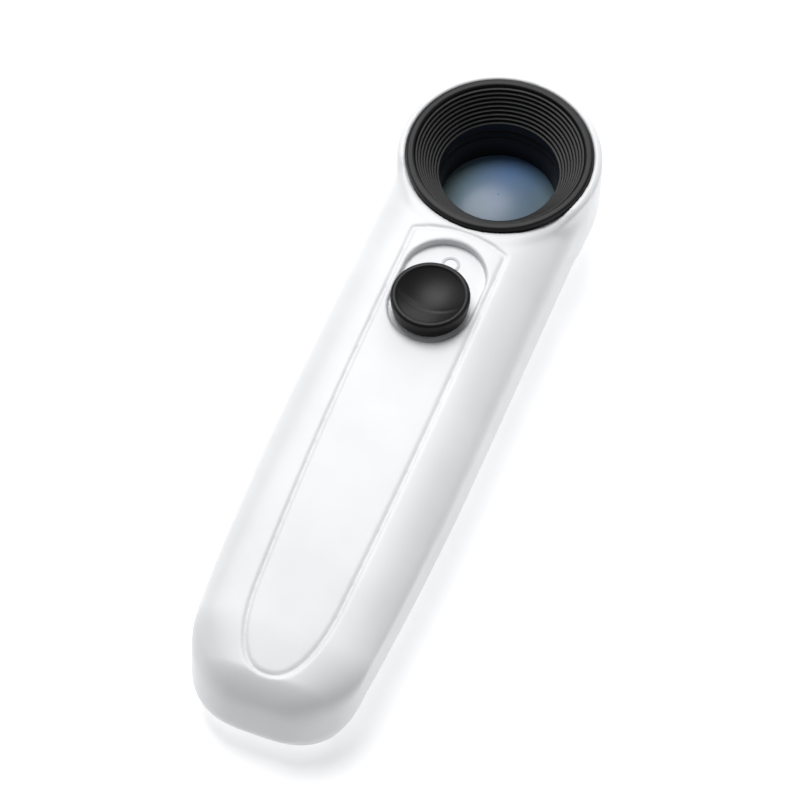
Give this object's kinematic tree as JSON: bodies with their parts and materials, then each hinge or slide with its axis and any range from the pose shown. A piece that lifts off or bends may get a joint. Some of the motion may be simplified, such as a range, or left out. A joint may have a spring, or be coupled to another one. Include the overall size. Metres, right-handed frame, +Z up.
{
  "type": "low vision magnifier",
  "caption": "Hand-held lit low vision magnifier: a round black stepped eyepiece over a coated lens, in the head of a long rounded white handle with a sliding thumb switch.",
  "frame": {"origin": "where the optical axis meets the plane the magnifier rests on", "axes": "+Z up the optical axis towards the eye, +X along the handle towards its tail"},
  "size_m": [0.1382, 0.038, 0.0244],
  "materials": {
    "white_shell": "satin moulded",
    "black_plastic": "fine matt",
    "dark_grey_plastic": "matt",
    "coated_lens": "polished, blue coating",
    "clear_lens": "polished",
    "clear_plastic": "clear",
    "circuit_board": "solder mask",
    "led_epoxy": "clear epoxy",
    "resistor_body": "lacquer",
    "grey_print": "moulded mark",
    "plated_steel": "plated",
    "nickel_wire": "plated wire",
    "cell_jacket": "plain jacket",
    "red_wire": "insulation",
    "black_wire": "insulation",
    "screw_steel": "zinc"
  },
  "bodies": {
    "housing": {"upper_shell": "white_shell", "lower_shell": "white_shell", "eyepiece_ring": "black_plastic", "base_ring": "black_plastic", "lens_retainer": "dark_grey_plastic", "lens_barrel": "dark_grey_plastic", "lens_spacer": "dark_grey_plastic", "battery_cradle": "dark_grey_plastic", "eye_lens": "coated_lens", "field_lens": "clear_lens", "lamp_window": "clear_plastic", "led_board": "circuit_board", "main_board": "circuit_board", "leds": "led_epoxy", "resistor": "resistor_body", "switch_marks": "grey_print", "switch_body": "plated_steel", "contact_springs": "nickel_wire", "contact_plates": "plated_steel", "battery_left": "cell_jacket", "battery_right": "cell_jacket", "wire_red": "red_wire", "wire_black": "black_wire", "housing_screws": "screw_steel"},
    "slider": {"switch_knob": "black_plastic", "slide_carriage": "dark_grey_plastic", "switch_lever": "dark_grey_plastic"},
    "cover": {"battery_cover": "white_shell"}
  },
  "joints": [
    {"name": "switch_slide", "type": "slide", "parent": "housing", "child": "slider", "axis": [-1, 0, 0], "range_m": [0, 0.0056]},
    {"name": "cover_slide", "type": "slide", "parent": "housing", "child": "cover", "axis": [1, 0, 0], "range_m": [0, 0.055]}
  ]
}
